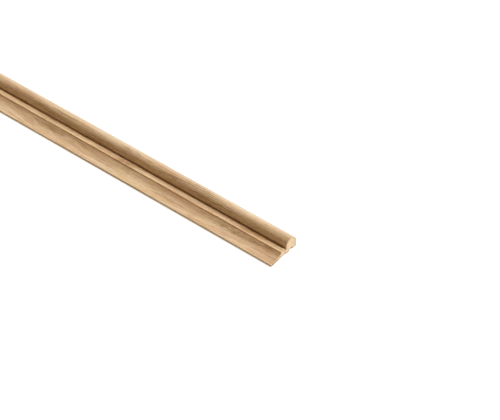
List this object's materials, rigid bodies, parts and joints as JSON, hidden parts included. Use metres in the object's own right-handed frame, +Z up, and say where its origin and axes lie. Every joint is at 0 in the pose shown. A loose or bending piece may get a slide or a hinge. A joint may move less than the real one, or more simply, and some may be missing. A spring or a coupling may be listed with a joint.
{
  "type": "decorative wood moulding",
  "caption": "Length of oak moulding with a thin square lip, a hollow, a stepped flat fillet, a narrow quirk and a half-round bead along its thick back edge.",
  "frame": {"origin": "middle of the flat underside: half way along the length and across the width", "axes": "+X along the length towards the square-cut end, +Y across the width from the thin front lip to the bead, +Z up, away from the flat underside"},
  "size_m": [2.4, 0.03, 0.0126],
  "materials": {
    "wood": "sanded, unfinished light oak, grain along the length"
  },
  "bodies": {
    "root": {"moulding": "wood"}
  },
  "joints": []
}
